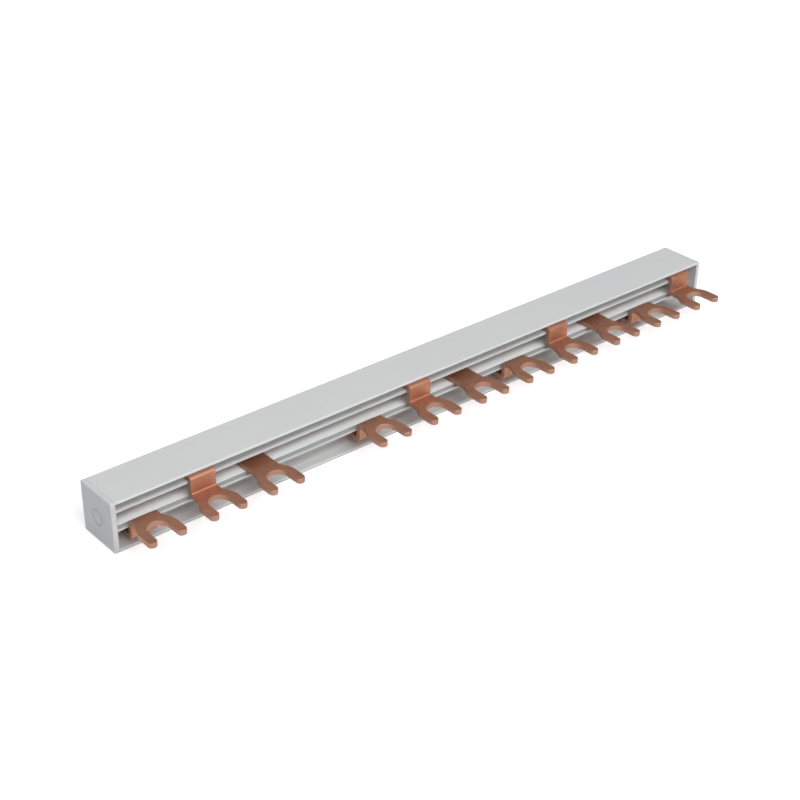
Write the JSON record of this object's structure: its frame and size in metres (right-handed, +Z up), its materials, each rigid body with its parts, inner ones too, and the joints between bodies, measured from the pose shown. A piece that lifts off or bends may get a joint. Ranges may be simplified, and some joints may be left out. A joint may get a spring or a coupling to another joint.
{
  "type": "comb busbar",
  "caption": "Three-phase comb busbar: an open-fronted plastic profile with end caps holds stamped copper combs whose bent forks reach a row of breaker terminals.",
  "frame": {"origin": "centre of the profile's base face, which the busbar rests on", "axes": "+X along the row of forks, -Y the way the forks point, +Z up from the base face"},
  "size_m": [0.2144, 0.0277, 0.0146],
  "materials": {
    "profile_plastic": "satin",
    "cap_plastic": "matt",
    "copper": "satin"
  },
  "bodies": {
    "root": {"housing_profile": "profile_plastic", "left_end_cap": "cap_plastic", "right_end_cap": "cap_plastic", "lower_comb": "copper", "middle_comb": "copper", "upper_comb": "copper"}
  },
  "joints": []
}
